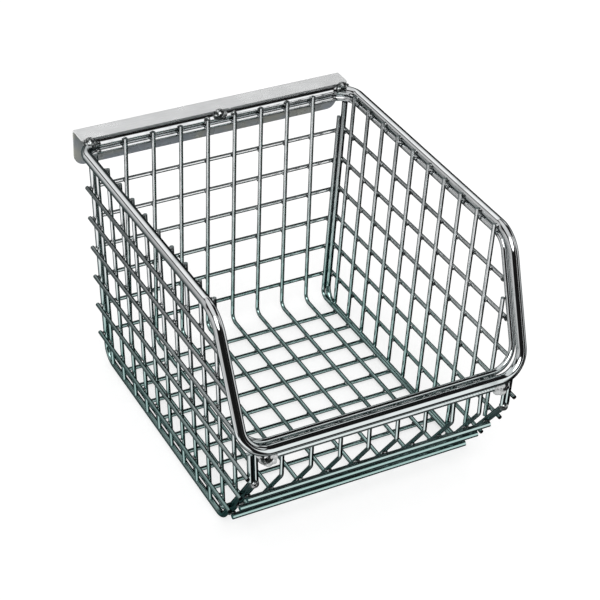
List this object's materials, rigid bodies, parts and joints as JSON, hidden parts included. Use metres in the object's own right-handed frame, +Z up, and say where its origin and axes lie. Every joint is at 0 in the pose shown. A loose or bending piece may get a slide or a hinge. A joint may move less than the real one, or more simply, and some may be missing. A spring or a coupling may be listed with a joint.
{
  "type": "wire basket",
  "caption": "Open-front welded wire basket with tapered sides, a heavy rod rim and a folded hanger plate along the back.",
  "frame": {"origin": "middle of the basket's outline at the level that its runners stand on", "axes": "+X to the right seen from the open front, +Y towards the hanger at the back, +Z up"},
  "size_m": [0.224, 0.282, 0.1926],
  "materials": {
    "wire_chrome": "bright plated drawn wire",
    "rim_chrome": "bright plated rod",
    "satin_plate": "satin plated sheet",
    "weld_metal": "rough plated weld beads"
  },
  "bodies": {
    "root": {"back_cross_wire_1": "wire_chrome", "back_cross_wire_2": "wire_chrome", "back_cross_wire_3": "wire_chrome", "back_cross_wire_4": "wire_chrome", "back_cross_wire_5": "wire_chrome", "back_cross_wire_6": "wire_chrome", "floor_cross_wire_1": "wire_chrome", "floor_cross_wire_2": "wire_chrome", "floor_cross_wire_3": "wire_chrome", "floor_cross_wire_4": "wire_chrome", "floor_cross_wire_5": "wire_chrome", "floor_cross_wire_6": "wire_chrome", "floor_cross_wire_7": "wire_chrome", "floor_cross_wire_8": "wire_chrome", "floor_cross_wire_9": "wire_chrome", "front_corner_welds": "weld_metal", "hanger_plate": "satin_plate", "hanger_welds": "weld_metal", "knee_welds": "weld_metal", "left_edge_wire": "wire_chrome", "left_side_frame": "wire_chrome", "left_side_rails": "wire_chrome", "left_side_uprights": "wire_chrome", "liner_rod": "rim_chrome", "long_wire_1": "wire_chrome", "long_wire_2": "wire_chrome", "long_wire_3": "wire_chrome", "long_wire_4": "wire_chrome", "long_wire_5": "wire_chrome", "long_wire_6": "wire_chrome", "long_wire_7": "wire_chrome", "long_wire_8": "wire_chrome", "right_edge_wire": "wire_chrome", "right_side_frame": "wire_chrome", "right_side_rails": "wire_chrome", "right_side_uprights": "wire_chrome", "rim_rod": "rim_chrome", "side_rail_welds": "weld_metal", "slope_cross_wire_1": "wire_chrome", "slope_cross_wire_2": "wire_chrome", "slope_cross_wire_3": "wire_chrome", "stacking_rail": "rim_chrome"}
  },
  "joints": []
}
